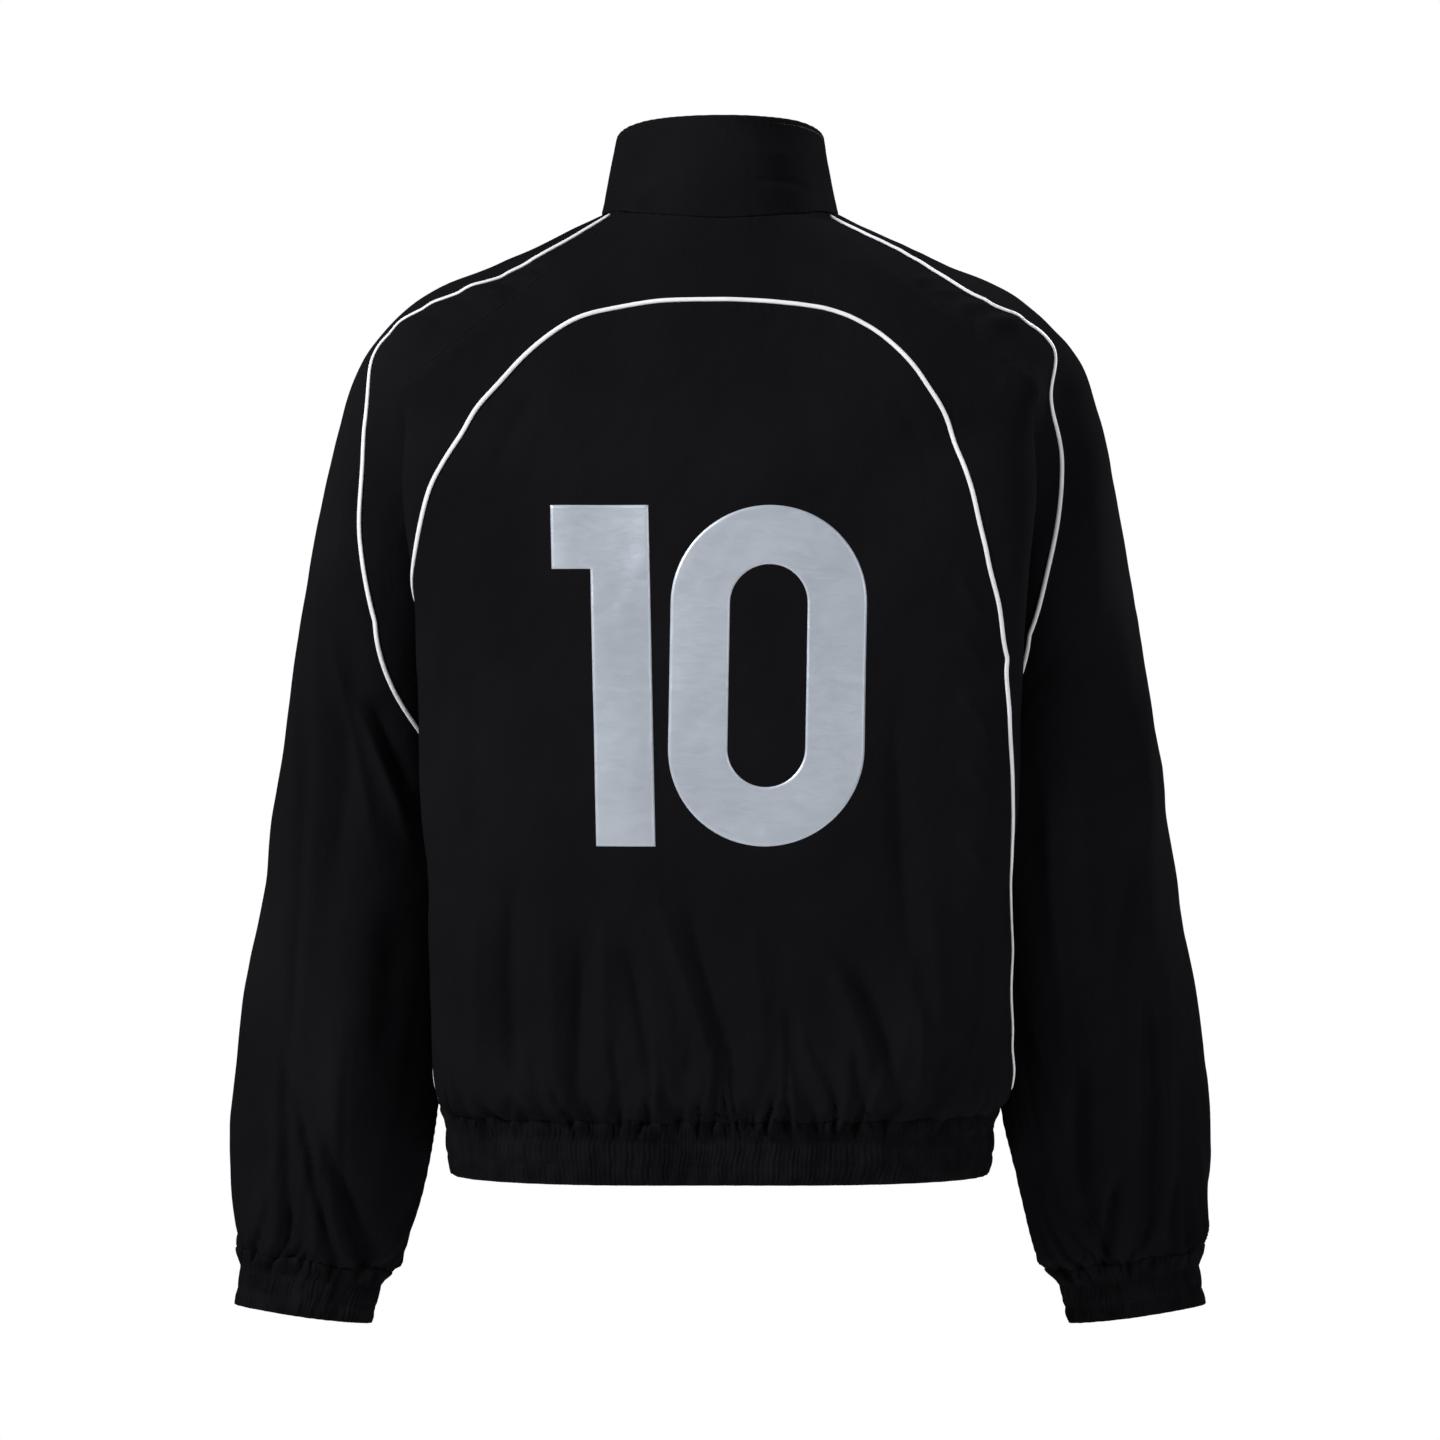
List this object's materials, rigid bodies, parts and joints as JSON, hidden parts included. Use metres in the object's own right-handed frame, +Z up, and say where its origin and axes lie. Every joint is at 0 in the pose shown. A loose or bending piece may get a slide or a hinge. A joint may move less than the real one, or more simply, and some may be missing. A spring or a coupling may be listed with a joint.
{
  "type": "track jacket",
  "caption": "Hollow zip-front track jacket with a stand collar, raglan sleeves, piped seams and gathered elastic hem and cuffs.",
  "frame": {"origin": "middle of the neck, level with the shoulders, where the wearer carries the jacket", "axes": "+Z up along the back, -Y out of the front, +X to the wearer's left"},
  "size_m": [0.6578, 0.2786, 0.8046],
  "materials": {
    "cloth": "smooth black woven polyester with a soft sheen",
    "elastic": "black cloth gathered over elastic",
    "piping": "white satin piping",
    "tape": "black zip tape",
    "teeth": "black moulded zip teeth",
    "metal": "dark lacquered metal"
  },
  "bodies": {
    "jacket": {"back_centre": "cloth", "back_outer": "cloth", "front_left": "cloth", "front_right": "cloth", "sleeve_left": "cloth", "sleeve_right": "cloth", "sleeve_back_left": "cloth", "sleeve_back_right": "cloth", "collar": "cloth", "hem_band": "elastic", "cuff_left": "elastic", "cuff_right": "elastic", "piping_back": "piping", "piping_sleeve_left": "piping", "piping_sleeve_right": "piping", "zip_tape_left": "tape", "zip_tape_right": "tape", "zip_chain": "teeth", "zip_slider": "metal", "zip_box": "metal"},
    "pull": {"zip_pull": "metal"}
  },
  "joints": [
    {"name": "pull_swing", "type": "hinge", "parent": "jacket", "child": "pull", "pos_m": [0, -0.08944, -0.02235], "axis": [-1, 0, 0], "range_deg": [0, 160]}
  ]
}
